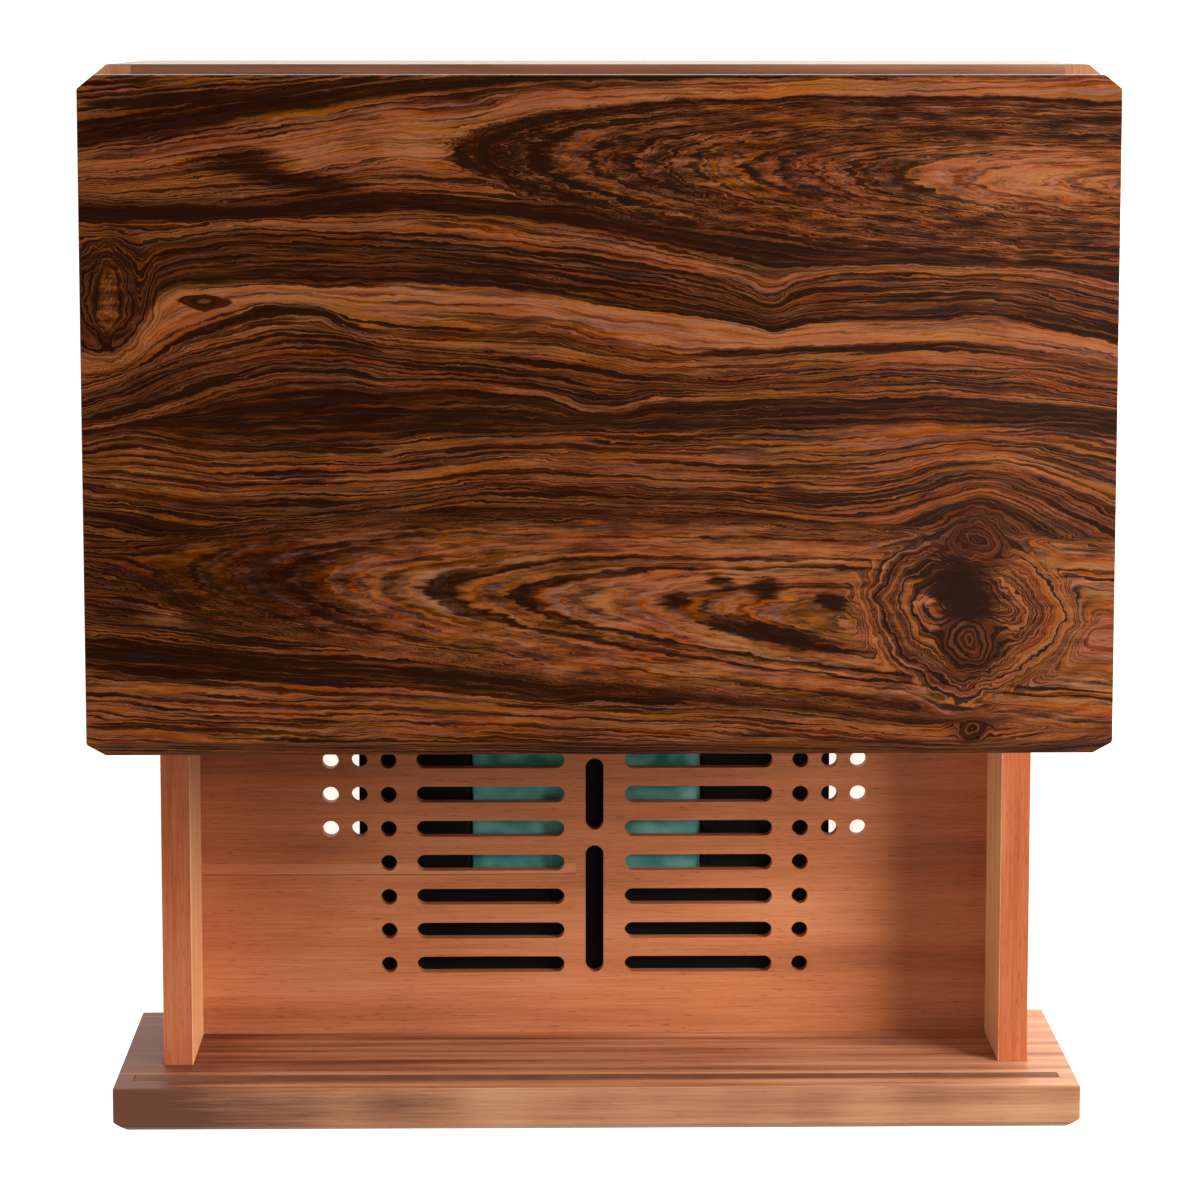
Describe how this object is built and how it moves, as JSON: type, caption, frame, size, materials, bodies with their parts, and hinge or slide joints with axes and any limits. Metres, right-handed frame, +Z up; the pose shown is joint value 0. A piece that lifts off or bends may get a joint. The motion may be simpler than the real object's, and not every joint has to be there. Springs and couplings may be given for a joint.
{
  "type": "humidor",
  "caption": "Wooden humidor: a hinged lid over a cedar-lined compartment, above a pull-out drawer with a slotted floor and a humidifier under it.",
  "frame": {"origin": "middle of the base, on the surface that it stands on", "axes": "+Z up, -Y the way the drawer pulls out, +X to the right seen from the front"},
  "size_m": [0.4, 0.4386, 0.2001],
  "materials": {
    "rosewood_veneer": "polished, dark figured grain",
    "cedar": "bare, sanded",
    "hardwood": "bare, sanded",
    "felt": "pressed felt",
    "brass": "satin",
    "steel": "plain",
    "seal": "matt strip",
    "black_plastic": "moulded",
    "clear_plastic": "clear, polished",
    "gel": "wet gel"
  },
  "bodies": {
    "case": {"case_left": "rosewood_veneer", "case_right": "rosewood_veneer", "case_back": "rosewood_veneer", "fascia": "rosewood_veneer", "case_bottom": "hardwood", "plinth": "hardwood", "front_rail": "hardwood", "runner_left": "hardwood", "runner_right": "hardwood", "base_pad": "felt", "deck": "cedar", "lining_left": "cedar", "lining_right": "cedar", "lining_front": "cedar", "lining_back": "cedar", "runner_screws": "steel", "hinge_left_pin": "steel", "hinge_right_pin": "steel", "hinge_left_case_leaf": "brass", "hinge_right_case_leaf": "brass", "hinge_case_screws": "brass"},
    "lid": {"lid_panel": "rosewood_veneer", "lid_front_rail": "rosewood_veneer", "lid_back_rail": "rosewood_veneer", "lid_left_rail": "rosewood_veneer", "lid_right_rail": "rosewood_veneer", "lid_lining": "cedar", "hinge_left_lid_leaf": "brass", "hinge_right_lid_leaf": "brass", "hinge_lid_screws": "brass"},
    "drawer": {"drawer_front": "rosewood_veneer", "drawer_left": "cedar", "drawer_right": "cedar", "drawer_back": "cedar", "drawer_floor": "cedar", "drawer_seal": "seal", "humidifier_housing": "black_plastic", "humidifier_left_cell": "clear_plastic", "humidifier_right_cell": "clear_plastic", "gel_left": "gel", "gel_right": "gel", "cleat_front": "hardwood", "cleat_back": "hardwood", "cleat_screws": "steel"}
  },
  "joints": [
    {"name": "lid_hinge", "type": "hinge", "parent": "case", "child": "lid", "pos_m": [0, 0.1282, 0.15495], "axis": [-1, 0, 0], "range_deg": [0, 95]},
    {"name": "drawer_slide", "type": "slide", "parent": "case", "child": "drawer", "axis": [0, -1, 0], "range_m": [-0.17, 0.012]}
  ]
}
